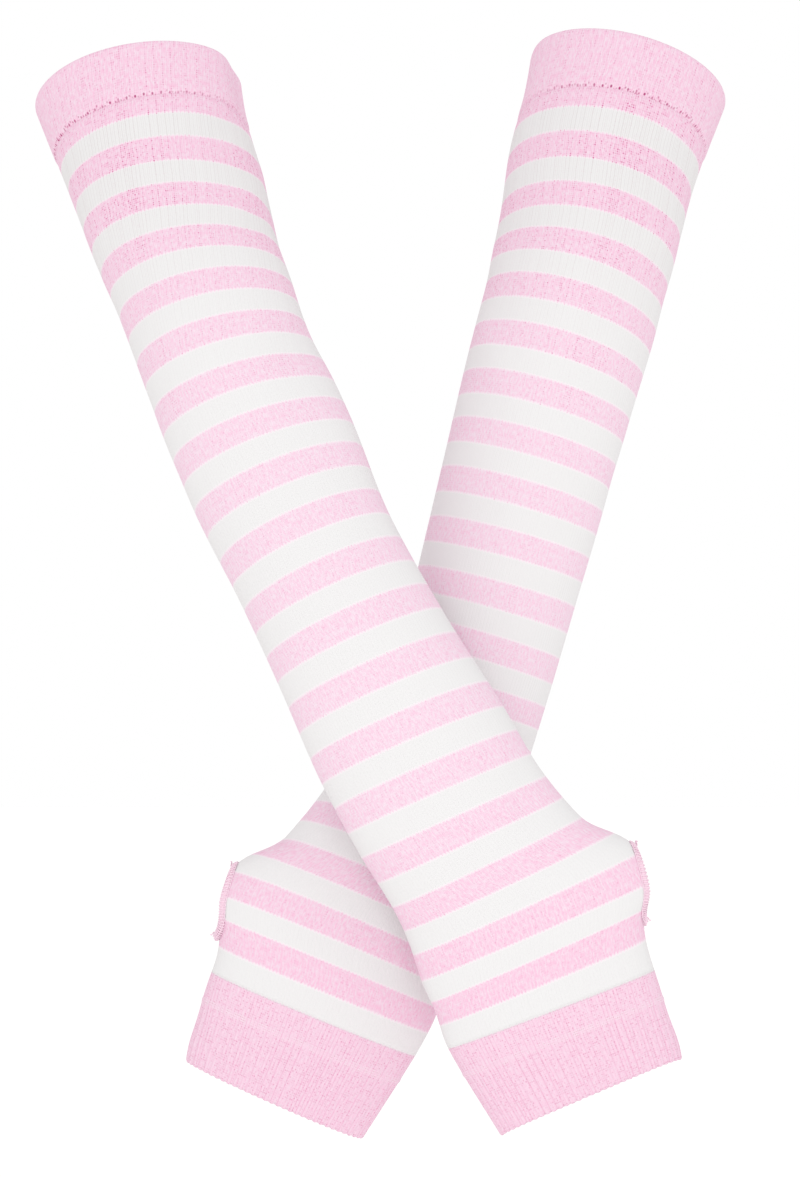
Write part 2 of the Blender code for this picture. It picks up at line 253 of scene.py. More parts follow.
def fold_height(sleeve, course, around):
    """The height of the sleeve's soft folds at each place, in millimetres."""
    girth = np.interp(course, sleeve["chart_courses"], sleeve["girth"])
    total = np.zeros_like(girth)
    for at, place, length, width, lean, height in sleeve["folds"]:
        down = course - at
        aside = ((around - place + 0.5) % 1 - 0.5) * girth
        run = down * math.cos(math.radians(lean)) + aside * math.sin(math.radians(lean))
        off = aside * math.cos(math.radians(lean)) - down * math.sin(math.radians(lean))
        total = total + height * np.exp(-((run / length) ** 2) - (off / width) ** 2)
    return total


UV_LENGTH = 500.0


def knitted_mesh(name, sleeve, rows, outer_rows, skip=(), rims=()):
    """A closed shell from rows of places, each (course, around, height) with the height in
    millimetres off the nominal surface. The first outer_rows show the knit's right side, and
    the rest its inside. skip holds the (row, column) of faces left out, and rims the loops
    of corners joined where they were."""
    course, around, height = (np.array([row[k] for row in rows]) for k in range(3))
    points = cloth_point(sleeve, course, around)
    lift = (height + fold_height(sleeve, course, around)) * MM
    points = points + cloth_normal(sleeve, course, around) * lift[..., None]
    count, columns = course.shape
    row, column = np.meshgrid(np.arange(count), np.arange(columns), indexing="ij")
    below, beside = (row + 1) % count, (column + 1) % columns
    corners = np.stack(
        [row * columns + column, below * columns + column, below * columns + beside, row * columns + beside],
        axis=-1,
    )
    wrap = (column + 1) // columns
    wound = around - np.interp(course, TWIST_COURSES, (0, sleeve["twist"]))
    u = np.stack([wound, wound[below, column], wound[below, beside] + wrap, wound[row, beside] + wrap], axis=-1)
    slip = np.interp(course, *zip(*sleeve["slip"]))
    slip += sleeve["askew"] * np.cos(2 * math.pi * around) * np.interp(course, ASKEW_COURSES, ASKEW_SHARES)
    knit = course - slip
    v = np.stack([knit, knit[below, column], knit[below, beside], knit[row, beside]], axis=-1)
    keep = np.ones((count, columns), bool)
    for i, j in skip:
        keep[i, j] = False
    inside = row >= outer_rows
    faces, u, v, inside = corners[keep], u[keep], v[keep], inside[keep]
    for loop in rims:
        for (i, j, k, m), (p, q, r, s) in zip(loop, loop[1:] + loop[:1]):
            corner = [i * columns + j, k * columns + m, r * columns + s, p * columns + q]
            faces = np.vstack([faces, corner])
            u = np.vstack([u, wound.ravel()[corner]])
            v = np.vstack([v, knit.ravel()[corner]])
            inside = np.append(inside, False)
    mesh = bpy.data.meshes.new(name)
    mesh.from_pydata(points.reshape(-1, 3).tolist(), [], faces.tolist())
    layer = mesh.uv_layers.new(name="knit")
    layer.data.foreach_set("uv", np.stack([u.ravel(), v.ravel() / UV_LENGTH], axis=-1).ravel())
    mesh.polygons.foreach_set("material_index", inside.astype(np.int32))
    edit = bmesh.new()
    edit.from_mesh(mesh)
    bmesh.ops.delete(edit, geom=[v for v in edit.verts if not v.link_faces], context="VERTS")
    bmesh.ops.recalc_face_normals(edit, faces=edit.faces)
    edit.to_mesh(mesh)
    edit.free()
    mesh.shade_smooth()
    piece = bpy.data.objects.new(name, mesh)
    bpy.context.scene.collection.objects.link(piece)
    return piece


# The thumb hole lies on the thumb side, an oval slit in the grid: the rows and columns near
# it are bent so that a square patch of the grid has an oval rim.
HOLE_HALF_LENGTH = 15.0
HOLE_HALF_SHARE = 0.042
HOLE_BLEND = 1.8
TUBE_COLUMNS = 272
TUBE_ROW_STEP = 2.0
PATCH_COLUMNS = 24
PATCH_ROWS = 18


def round_the_hole(sleeve, course, around):
    along = (course - sleeve["hole"]) / HOLE_HALF_LENGTH
    aside = ((around + 0.5) % 1 - 0.5) / HOLE_HALF_SHARE
    reach = np.maximum(np.abs(along), np.abs(aside))
    near = (reach < HOLE_BLEND) & (reach > 0)
    oval = np.clip((HOLE_BLEND - reach) / (HOLE_BLEND - 1), 0, 1)
    scale = 1 + oval * (reach / np.maximum(np.hypot(along, aside), 1e-9) - 1)
    return (
        np.where(near, sleeve["hole"] + along * scale * HOLE_HALF_LENGTH, course),
        np.where(near, aside * scale * HOLE_HALF_SHARE, around),
    )


def striped_tube(name, sleeve):
    above, below = sleeve["hole"] - HOLE_HALF_LENGTH, sleeve["hole"] + HOLE_HALF_LENGTH
    first, last = WELT_END - 0.8, TUBE_END + 0.3
    courses = np.concatenate(
        [
            [first, WELT_END - 0.2, WELT_END + 0.3],
            np.linspace(WELT_END + 1.0, above, int((above - WELT_END) / TUBE_ROW_STEP))[:-1],
            np.linspace(above, below, PATCH_ROWS + 1),
            np.linspace(below, last, 8)[1:],
        ]
    )
    patch = int(np.argmin(np.abs(courses - above)))
    half = PATCH_COLUMNS // 2
    share = 2 * HOLE_HALF_SHARE / PATCH_COLUMNS
    near = share * np.arange(-half, half + 1)
    wide = np.linspace(near[-1], near[0] + 1, TUBE_COLUMNS - PATCH_COLUMNS + 1)[1:-1]
    around = np.concatenate([near, wide])
    tucked = np.interp(courses, [first, WELT_END + 0.3, WELT_END + 1.2], [-0.9, -0.35, 0.0])
    rows = []
    for course, height in zip(courses, tucked):
        c, s = round_the_hole(sleeve, np.full(len(around), course), around)
        rows.append((c, s, np.full(len(around), height)))
    outer_rows = len(rows)
    inner = [i for i in range(outer_rows) if patch <= i <= patch + PATCH_ROWS or i % 3 == 0]
    inner = sorted(set(inner + [0, outer_rows - 1]), reverse=True)
    for i in inner:
        rows.append((rows[i][0], rows[i][1], np.full(len(around), -TUBE_WALL)))
    skip = {(i, j) for i in range(patch, patch + PATCH_ROWS) for j in range(PATCH_COLUMNS)}
    back = {i: outer_rows + k for k, i in enumerate(inner)}
    skip |= {(back[i + 1], j) for i in range(patch, patch + PATCH_ROWS) for j in range(PATCH_COLUMNS)}
    rim = [(patch, j) for j in range(PATCH_COLUMNS)]
    rim += [(patch + i, PATCH_COLUMNS) for i in range(PATCH_ROWS)]
    rim += [(patch + PATCH_ROWS, j) for j in range(PATCH_COLUMNS, 0, -1)]
    rim += [(patch + i, 0) for i in range(PATCH_ROWS, 0, -1)]
    loop = [(i, j, back[i], j) for i, j in rim]
    return knitted_mesh(name, sleeve, rows, outer_rows - 1, skip, [loop])


def dye(code):
    """A colour's sRGB hex code as linear values."""
    channels = [int(code[i : i + 2], 16) / 255 for i in (1, 3, 5)]
    return [c / 12.92 if c <= 0.04045 else ((c + 0.055) / 1.055) ** 2.4 for c in channels] + [1.0]


def add_node(cloth, kind, inputs=None, **settings):
    """Adds a node to a material; inputs maps a socket to a value or to another node's output."""
    node = cloth.node_tree.nodes.new(kind)
    for key, value in settings.items():
        setattr(node, key, value)
    for socket, value in (inputs or {}).items():
        if isinstance(value, bpy.types.NodeSocket):
            cloth.node_tree.links.new(value, node.inputs[socket])
        else:
            node.inputs[socket].default_value = value
    return node.outputs


# Sizes of the stitches, in millimetres. A course is one round of knitting, 0.85 mm tall. A
# wale is one column of V-shaped stitches: 142 of them go round the sleeve, so one is 1.7 mm
# wide at the elbow and 1.1 mm at the wrist.
WALES = 142
COURSE_PITCH = 0.85
WALE_PITCH = 1.5
FIRST_WHITE = 28.6
WHITE_WIDTH = 9.6
STRIPE_REPEAT = 20.0
PINK_YARN = "#E7D4DF"
# The deeper pink is the far end of the yarn's uneven tone, and also the painted shade towards the upper hem and the
# cuff.
DEEP_TONE_AND_SHADE_PINK = "#E9B6CF"
WHITE_YARN = "#E0DFDF"


def knit_pattern(cloth, wales, wobble):
    """What each point of the knitting is, as sockets by name: "course" in millimetres,
    "middle" how near it is to the middle of its wale (0 to 1), "height" of the yarn, "own" a
    number for each leg of a stitch, "gap" the gap beside it, "column" a number for each
    column of legs, and "grain" an uneven fineness that runs along the columns."""
    place = add_node(cloth, "ShaderNodeUVMap", uv_map="knit")[0]
    place = add_node(cloth, "ShaderNodeSeparateXYZ", {0: place})
    course = add_node(cloth, "ShaderNodeMath", {0: place[1], 1: UV_LENGTH}, operation="MULTIPLY")[0]
    spot = add_node(cloth, "ShaderNodeTexCoord")["Object"]
    uneven = add_node(cloth, "ShaderNodeTexNoise", {"Vector": spot, "Scale": 300.0, "Detail": 1.0})["Fac"]
    sway = add_node(cloth, "ShaderNodeMath", {0: uneven, 1: wobble, 2: -wobble / 2}, operation="MULTIPLY_ADD")[0]
    wale = add_node(cloth, "ShaderNodeMath", {0: place[0], 1: float(wales), 2: sway}, operation="MULTIPLY_ADD")[0]
    middle = add_node(cloth, "ShaderNodeMath", {0: wale, 1: 0.5}, operation="PINGPONG")[0]
    middle = add_node(cloth, "ShaderNodeMath", {0: middle, 1: 2.0}, operation="MULTIPLY")[0]
    row = add_node(cloth, "ShaderNodeMath", {0: course, 1: COURSE_PITCH}, operation="DIVIDE")[0]
    row = add_node(cloth, "ShaderNodeMath", {0: row, 1: sway}, operation="ADD")[0]
    slant = add_node(cloth, "ShaderNodeMath", {0: middle, 1: 0.85, 2: row}, operation="MULTIPLY_ADD")[0]
    turn = add_node(cloth, "ShaderNodeMath", {0: slant, 1: 2 * math.pi}, operation="MULTIPLY")[0]
    loop = add_node(cloth, "ShaderNodeMath", {0: turn}, operation="COSINE")[0]
    arch = add_node(cloth, "ShaderNodeMath", {0: middle, 1: math.pi}, operation="MULTIPLY")[0]
    arch = add_node(cloth, "ShaderNodeMath", {0: arch}, operation="SINE")[0]
    groove = add_node(
        cloth,
        "ShaderNodeMapRange",
        {"Value": middle, "From Min": 0.0, "From Max": 0.5},
        interpolation_type="SMOOTHSTEP",
    )[0]
    height = add_node(cloth, "ShaderNodeMath", {0: arch, 1: 0.35, 2: groove}, operation="MULTIPLY_ADD")[0]
    height = add_node(cloth, "ShaderNodeMath", {0: loop, 1: 0.08, 2: height}, operation="MULTIPLY_ADD")[0]
    leg = add_node(cloth, "ShaderNodeMath", {0: wale, 1: 2.0}, operation="MULTIPLY")[0]
    near_leg = add_node(cloth, "ShaderNodeMath", {0: leg}, operation="ROUND")[0]
    near_row = add_node(cloth, "ShaderNodeMath", {0: row}, operation="FLOOR")[0]
    column = add_node(cloth, "ShaderNodeTexWhiteNoise", {"W": near_leg}, noise_dimensions="1D")[0]
    cell = add_node(cloth, "ShaderNodeCombineXYZ", {0: near_leg, 1: near_row})[0]
    own = add_node(cloth, "ShaderNodeTexWhiteNoise", {"Vector": cell}, noise_dimensions="3D")[0]
    aside = add_node(cloth, "ShaderNodeMath", {0: leg, 1: 0.5}, operation="PINGPONG")[0]
    aside = add_node(cloth, "ShaderNodeMath", {0: aside, 1: WALE_PITCH / 2}, operation="MULTIPLY")[0]
    tall = add_node(cloth, "ShaderNodeMath", {0: row}, operation="FRACT")[0]
    tall = add_node(
        cloth, "ShaderNodeMath", {0: tall, 1: COURSE_PITCH, 2: -COURSE_PITCH / 2}, operation="MULTIPLY_ADD"
    )[0]
    away = add_node(cloth, "ShaderNodeCombineXYZ", {0: aside, 1: tall})[0]
    away = add_node(cloth, "ShaderNodeVectorMath", {0: away}, operation="LENGTH")[1]
    gap = add_node(
        cloth,
        "ShaderNodeMapRange",
        {"Value": away, "From Min": 0.12, "From Max": 0.42, "To Min": 1.0, "To Max": 0.0},
        interpolation_type="SMOOTHSTEP",
    )[0]
    tall = add_node(cloth, "ShaderNodeMath", {0: row, 1: 0.45}, operation="MULTIPLY")[0]
    grid = add_node(cloth, "ShaderNodeCombineXYZ", {0: leg, 1: tall})[0]
    grain = add_node(cloth, "ShaderNodeTexNoise", {"Vector": grid, "Scale": 1.0, "Detail": 1.0})["Fac"]
    grain = add_node(cloth, "ShaderNodeMapRange", {"Value": grain, "From Min": 0.32, "From Max": 0.68})[0]
    return {
        "course": course, "middle": middle, "height": height, "own": own, "gap": gap,
        "column": column, "grain": grain,
    }


def new_cloth(name):
    cloth = bpy.data.materials.new(name)
    cloth.use_nodes = True
    shader = cloth.node_tree.nodes["Principled BSDF"]
    shader.inputs["Roughness"].default_value = 0.92
    shader.inputs["Sheen Weight"].default_value = 0.05
    shader.inputs["Sheen Tint"].default_value = dye("#F6D6E4")
    shader.inputs["Sheen Roughness"].default_value = 0.55
    shader.inputs["Specular IOR Level"].default_value = 0.25
    return cloth, shader


# Plain-knit cotton: matt, its yarn in rows of V-shaped stitches. Where the cloth is held
# wide near the elbow, fine upright lines and pin holes open between the stitches, painted
# darker as the shade in those gaps; further down it lies close. The pin holes are drawn
# 0.5 mm wide, so that they show in the render. The pink is also painted deeper towards the
# upper hem and towards the cuff: painted shade.
def jersey(name, stripes=True, holes=1.0):
    cloth, shader = new_cloth(name)
    knit = knit_pattern(cloth, WALES, 0.3)
    course, middle = knit["course"], knit["middle"]
    spot = add_node(cloth, "ShaderNodeTexCoord")["Object"]
    held_wide_and_top_shade = add_node(
        cloth,
        "ShaderNodeMapRange",
        {"Value": course, "From Min": 20.0, "From Max": 190.0, "To Min": 1.0, "To Max": 0.0},
        interpolation_type="SMOOTHSTEP",
    )[0]
    wrist_end_shade = add_node(
        cloth,
        "ShaderNodeMapRange",
        {"Value": course, "From Min": 280.0, "From Max": 410.0},
        interpolation_type="SMOOTHSTEP",
    )[0]
    # Painted shade: the pink is painted deeper towards the upper hem and towards the cuff, and the yarn's grain adds an
    # uneven tone.
    deeper = add_node(cloth, "ShaderNodeMath", {0: held_wide_and_top_shade, 1: 0.17, 2: -0.1}, operation="MULTIPLY_ADD")[0]
    for part, share in ((wrist_end_shade, 0.3), (knit["grain"], 0.68)):
        deeper = add_node(cloth, "ShaderNodeMath", {0: part, 1: share, 2: deeper}, operation="MULTIPLY_ADD")[0]
    deeper = add_node(cloth, "ShaderNodeClamp", {0: deeper})[0]
    colour = add_node(
        cloth, "ShaderNodeMix", {0: deeper, 6: dye(PINK_YARN), 7: dye(DEEP_TONE_AND_SHADE_PINK)}, data_type="RGBA"
    )[2]
    pink = 1.0
    # The colour of the painted shade in the gaps between stitches: deeper pink, and grey on the white stripes.
    line_colour = dye("#DE9EC0")
    if stripes:
        jag = add_node(cloth, "ShaderNodeMath", {0: middle, 1: 0.5, 2: course}, operation="MULTIPLY_ADD")[0]
        since = add_node(cloth, "ShaderNodeMath", {0: jag, 1: -FIRST_WHITE}, operation="ADD")[0]
        since = add_node(cloth, "ShaderNodeMath", {0: since, 1: STRIPE_REPEAT}, operation="FLOORED_MODULO")[0]
        stripe = add_node(cloth, "ShaderNodeMath", {0: since, 1: WHITE_WIDTH}, operation="LESS_THAN")[0]
        begun = add_node(cloth, "ShaderNodeMath", {0: jag, 1: FIRST_WHITE - 1.0}, operation="GREATER_THAN")[0]
        stripe = add_node(cloth, "ShaderNodeMath", {0: stripe, 1: begun}, operation="MULTIPLY")[0]
        colour = add_node(cloth, "ShaderNodeMix", {0: stripe, 6: colour, 7: dye(WHITE_YARN)}, data_type="RGBA")[2]
        # The first course of each new yarn stands a little higher and catches more light; this is a painted highlight,
        # a lighter line along each edge of a stripe.
        for edge in (0.0, WHITE_WIDTH, STRIPE_REPEAT):
            line = add_node(cloth, "ShaderNodeMath", {0: since, 1: edge, 2: 0.45}, operation="COMPARE")[0]
            line = add_node(cloth, "ShaderNodeMath", {0: line, 1: 0.55}, operation="MULTIPLY")[0]
            line = add_node(cloth, "ShaderNodeMath", {0: line, 1: begun}, operation="MULTIPLY")[0]
            colour = add_node(cloth, "ShaderNodeMix", {0: line, 6: colour, 7: dye("#EBE3E7")}, data_type="RGBA")[2]
        pink = add_node(cloth, "ShaderNodeMath", {0: stripe, 1: -0.9, 2: 1.0}, operation="MULTIPLY_ADD")[0]
        line_colour = add_node(
            cloth, "ShaderNodeMix", {0: stripe, 6: line_colour, 7: dye("#BEB6B4")}, data_type="RGBA"
        )[2]
    patch = add_node(cloth, "ShaderNodeTexNoise", {"Vector": spot, "Scale": 26.0, "Detail": 1.0})["Fac"]
    patch = add_node(
        cloth, "ShaderNodeMapRange", {"Value": patch, "From Min": 0.4, "From Max": 0.65, "To Min": 0.5, "To Max": 1.5}
    )[0]
    open_here = add_node(cloth, "ShaderNodeMath", {0: held_wide_and_top_shade, 1: patch}, operation="MULTIPLY")[0]
    # Painted shade: darker lines in the gaps between the wales and between each stitch's legs, stronger where the cloth
    # is held wide.
    between = add_node(
        cloth,
        "ShaderNodeMapRange",
        {"Value": middle, "From Min": 0.1, "From Max": 0.5, "To Min": 1.0, "To Max": 0.0},
        interpolation_type="SMOOTHSTEP",
    )[0]
    legs = add_node(cloth, "ShaderNodeMapRange", {"Value": middle, "From Min": 0.6, "To Max": 0.8})[0]
    between = add_node(cloth, "ShaderNodeMath", {0: between, 1: legs}, operation="ADD")[0]
    shown = add_node(
        cloth,
        "ShaderNodeMapRange",
        {"Value": held_wide_and_top_shade, "From Min": 0.3, "To Min": 0.03, "To Max": 0.34 * holes},
    )[0]
    between = add_node(cloth, "ShaderNodeMath", {0: between, 1: shown}, operation="MULTIPLY")[0]
    uneven = add_node(cloth, "ShaderNodeMapRange", {"Value": knit["column"], "To Min": 0.45})[0]
    between = add_node(cloth, "ShaderNodeMath", {0: between, 1: uneven}, operation="MULTIPLY")[0]
    colour = add_node(cloth, "ShaderNodeMix", {0: between, 6: colour, 7: line_colour}, data_type="RGBA")[2]
    strength = add_node(cloth, "ShaderNodeMath", {0: knit["own"], 1: 2.0}, operation="POWER")[0]
    many = add_node(
        cloth, "ShaderNodeMapRange", {"Value": open_here, "To Min": 0.28 * holes, "To Max": 1.0 * holes}
    )[0]
    # The pin holes lie one below the other, down the columns that are pulled open the most. They are painted dark, as
    # the shade seen through them.
    ladder = add_node(
        cloth,
        "ShaderNodeMapRange",
        {"Value": knit["column"], "From Min": 0.25, "From Max": 0.95, "To Min": 0.2, "To Max": 1.15},
    )[0]
    pin = add_node(cloth, "ShaderNodeMath", {0: strength, 1: knit["gap"]}, operation="MULTIPLY")[0]
    pin = add_node(cloth, "ShaderNodeMath", {0: pin, 1: many}, operation="MULTIPLY")[0]
    for part in (pink, ladder):
        pin = add_node(cloth, "ShaderNodeMath", {0: pin, 1: part}, operation="MULTIPLY")[0]
    colour = add_node(cloth, "ShaderNodeMix", {0: pin, 6: colour, 7: dye("#C8588F")}, data_type="RGBA")[2]
    cloth.node_tree.links.new(colour, shader.inputs["Base Color"])
    bump = add_node(
        cloth, "ShaderNodeBump", {"Strength": 0.22, "Distance": 0.2 * MM, "Height": knit["height"]}
    )[0]
    cloth.node_tree.links.new(bump, shader.inputs["Normal"])
    return cloth


striped_jersey = jersey("cotton_jersey_striped")


# The inside of the same knitting: the purl side, rows of small half-round bumps.
def jersey_inside(name, stripes=True):
    cloth, shader = new_cloth(name)
    knit = knit_pattern(cloth, WALES, 0.3)
    course = knit["course"]
    arch = add_node(cloth, "ShaderNodeMath", {0: knit["middle"], 1: 0.5}, operation="MULTIPLY")[0]
    row = add_node(cloth, "ShaderNodeMath", {0: course, 1: COURSE_PITCH}, operation="DIVIDE")[0]
    row = add_node(cloth, "ShaderNodeMath", {0: row, 1: arch}, operation="ADD")[0]
    bar = add_node(cloth, "ShaderNodeMath", {0: row, 1: 2 * math.pi}, operation="MULTIPLY")[0]
    bar = add_node(cloth, "ShaderNodeMath", {0: bar}, operation="COSINE")[0]
    colour = add_node(
        cloth, "ShaderNodeMix", {0: knit["own"], 6: dye(DEEP_TONE_AND_SHADE_PINK), 7: dye(PINK_YARN)}, data_type="RGBA"
    )[2]
    if stripes:
        since = add_node(cloth, "ShaderNodeMath", {0: course, 1: -FIRST_WHITE}, operation="ADD")[0]
        since = add_node(cloth, "ShaderNodeMath", {0: since, 1: STRIPE_REPEAT}, operation="FLOORED_MODULO")[0]
        white = add_node(cloth, "ShaderNodeMath", {0: since, 1: WHITE_WIDTH}, operation="LESS_THAN")[0]
        below_welt = add_node(cloth, "ShaderNodeMath", {0: course, 1: FIRST_WHITE}, operation="GREATER_THAN")[0]
        white = add_node(cloth, "ShaderNodeMath", {0: white, 1: below_welt}, operation="MULTIPLY")[0]
        colour = add_node(cloth, "ShaderNodeMix", {0: white, 6: colour, 7: dye(WHITE_YARN)}, data_type="RGBA")[2]
    cloth.node_tree.links.new(colour, shader.inputs["Base Color"])
    bump = add_node(cloth, "ShaderNodeBump", {"Strength": 0.6, "Distance": 0.25 * MM, "Height": bar})[0]
    cloth.node_tree.links.new(bump, shader.inputs["Normal"])
    return cloth


striped_inside = jersey_inside("cotton_jersey_striped_inside")

for side, sleeve in SLEEVES.items():
    chart(sleeve)
    tube = striped_tube(side + "_striped_tube", sleeve)
    tube.data.materials.append(striped_jersey)
    tube.data.materials.append(striped_inside)
    sleeve["tube"] = tube
    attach(tube, "root")
    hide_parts(*(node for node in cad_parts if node.startswith(side) and node.endswith("_tube")))

# Welts, the bands at the upper openings. Pink jersey knitted double: it is turned over at
# the hem and hung back on the needles, which leaves a row of small holes at its foot.
WELT_WALL = 2.4
WELT_BULGE = 0.35
WELT_COLUMNS = 272


def turned_welt(name, sleeve):
    around = np.arange(WELT_COLUMNS) / WELT_COLUMNS
    fold = WELT_WALL / 2
    foot = [(WELT_END + 0.35, -0.75), (WELT_END, -0.3), (WELT_END - 0.5, 0.05), (WELT_END - 1.2, WELT_BULGE)]
    profile = foot + [(course, WELT_BULGE) for course in np.linspace(WELT_END - 3, fold + 1.2, 9)]
    for bend in np.linspace(0, math.pi, 9):
        height = WELT_BULGE * (1 - bend / math.pi) - fold * (1 - math.cos(bend))
        profile.append((fold * (1 - math.sin(bend)), height))
    outer_rows = len(profile)
    profile += [(course, -WELT_WALL) for course in np.linspace(fold + 1.5, WELT_END + 0.35, 6)]
    even = np.ones(WELT_COLUMNS)
    dip = sleeve["dip"] * np.clip(np.sin(2 * math.pi * around), 0, 1)
    rows = [
        (course + dip * max(0.0, 1 - course / WELT_END), around, height * even) for course, height in profile
    ]
    return knitted_mesh(name, sleeve, rows, outer_rows - 1)


# The welt's cloth is plain jersey again, with 67 holes at its foot, about 3.6 mm apart, some
# open and some nearly closed: "peak" is where round the sleeve they are widest, "reach" how
# far from there they stay open (-1 all round, 1 nowhere else), and "least" how open the rest
# are. Between them the tight rehung loops leave a ragged row of finer gaps. All are painted
# dark, as the shade of the hollow that shows through.
WELT_GAPS = ("count", "radius", "stray", "share")
WELT_HOLES = (67, 0.65, 0.5, 1.0)
LOOP_GAPS = (201, 0.5, 1.7, 0.75)
OPEN_SIDES = {"front": {"peak": 0.37, "reach": -0.6, "least": 0.3}, "rear": {"peak": 0.27, "reach": 0.1, "least": 0.08}}


def welt_jersey(name, peak, reach, least):
    cloth = jersey(name, stripes=False, holes=0.6)
    shader = cloth.node_tree.nodes["Principled BSDF"]
    colour = shader.inputs["Base Color"].links[0].from_socket
    place = add_node(cloth, "ShaderNodeUVMap", uv_map="knit")[0]
    place = add_node(cloth, "ShaderNodeSeparateXYZ", {0: place})
    far_side = add_node(
        cloth, "ShaderNodeMath", {0: place[0], 1: 2 * math.pi, 2: -2 * math.pi * peak}, operation="MULTIPLY_ADD"
    )[0]
    far_side = add_node(cloth, "ShaderNodeMath", {0: far_side}, operation="COSINE")[0]
    far_side = add_node(
        cloth, "ShaderNodeMapRange", {"Value": far_side, "From Min": reach, "To Min": least, "To Max": 1.0}
    )[0]
    for count, radius, stray, share in (WELT_HOLES, LOOP_GAPS):
        pair = add_node(cloth, "ShaderNodeMath", {0: place[0], 1: float(count)}, operation="MULTIPLY")[0]
        needle = add_node(cloth, "ShaderNodeMath", {0: pair}, operation="ROUND")[0]
        own = add_node(cloth, "ShaderNodeTexWhiteNoise", {"W": needle}, noise_dimensions="1D")
        aside = add_node(cloth, "ShaderNodeMath", {0: pair, 1: 0.5}, operation="PINGPONG")[0]
        aside = add_node(cloth, "ShaderNodeMath", {0: aside, 1: 241.0 / count}, operation="MULTIPLY")[0]
        drop = add_node(
            cloth, "ShaderNodeMath", {0: own[0], 1: stray, 2: 0.25 - stray / 2 - WELT_END}, operation="MULTIPLY_ADD"
        )[0]
        down = add_node(cloth, "ShaderNodeMath", {0: place[1], 1: UV_LENGTH, 2: drop}, operation="MULTIPLY_ADD")[0]
        away = add_node(cloth, "ShaderNodeCombineXYZ", {0: aside, 1: down})[0]
        away = add_node(cloth, "ShaderNodeVectorMath", {0: away}, operation="LENGTH")[1]
        hole = add_node(
            cloth,
            "ShaderNodeMapRange",
            {"Value": away, "From Min": 0.35 * radius, "From Max": radius, "To Min": 1.0, "To Max": 0.0},
            interpolation_type="SMOOTHSTEP",
        )[0]
        depth = add_node(cloth, "ShaderNodeSeparateColor", {0: own[1]})[1]
        depth = add_node(
            cloth, "ShaderNodeMapRange", {"Value": depth, "To Min": 0.5 * share, "To Max": share}
        )[0]
        for part in (depth, far_side):
            hole = add_node(cloth, "ShaderNodeMath", {0: hole, 1: part}, operation="MULTIPLY")[0]
        # Painted shade of the hollow, seen through each hole.
        colour = add_node(cloth, "ShaderNodeMix", {0: hole, 6: colour, 7: dye("#A8356F")}, data_type="RGBA")[2]
    cloth.node_tree.links.new(colour, shader.inputs["Base Color"])
    return cloth


pink_inside = jersey_inside("cotton_jersey_pink_inside", stripes=False)

for side, sleeve in SLEEVES.items():
    welt = turned_welt(side + "_turned_welt", sleeve)
    welt.data.materials.append(welt_jersey("cotton_jersey_welt_" + side, **OPEN_SIDES[side]))
    welt.data.materials.append(pink_inside)
    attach(welt, "root")
    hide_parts(side + "_welt")
    sleeve["welt"] = welt

# Ribbed cuffs at the hand. The upper third is plain jersey, and the rest is 1x1 rib, whose
# raised wales stand close together; the bound-off hem is slightly scalloped by them.
CUFF_WALL = 1.7
PLAIN_CUFF_END = 409.0
RIBS = 66
COLUMNS_TO_A_RIB = 8
RIB_HEIGHT = 0.5


def ribbed_cuff(name, sleeve):
    columns = RIBS * COLUMNS_TO_A_RIB
    around = np.arange(columns) / columns
    wave = 0.5 + 0.5 * np.cos(2 * math.pi * RIBS * around)
    even = np.ones(columns)
    rows = [((TUBE_END - 0.4) * even, around, -0.3 * even), (TUBE_END * even, around, 0.0 * even)]
    courses = np.concatenate(
        [np.linspace(TUBE_END + 0.8, PLAIN_CUFF_END, 8), np.linspace(PLAIN_CUFF_END + 0.5, CUFF_END - 0.6, 40)]
    )
    for course in courses:
        ridge = 0.25 * math.exp(-(((course - PLAIN_CUFF_END) / 0.9) ** 2))
        ribbed = min(max((course - PLAIN_CUFF_END) / 2.0, 0.0), 1.0)
        height = ridge - RIB_HEIGHT * (0.12 + 0.5 * ribbed) * (1 - wave**0.6)
        rows.append((course * even, around, height * even))
    scallop = 0.35 * (wave - 0.5)
    for drop, height in ((0.0, -0.12), (0.35, -0.5), (0.45, -0.85), (0.35, -1.2), (0.0, -CUFF_WALL)):
        rows.append((CUFF_END - 0.45 + scallop + drop, around, height - RIB_HEIGHT * 0.5 * (1 - wave)))
    outer_rows = len(rows)
    for course in np.linspace(CUFF_END - 3, TUBE_END - 0.4, 8):
        rows.append((course * even, around, -CUFF_WALL * even))
    short = sleeve["back_hem"] * np.clip(-np.sin(2 * math.pi * around), 0, 1)
    rows = [(c - short * np.clip((c - TUBE_END) / (CUFF_END - TUBE_END), 0, 1), a, h) for c, a, h in rows]
    return knitted_mesh(name, sleeve, rows, outer_rows - 1)
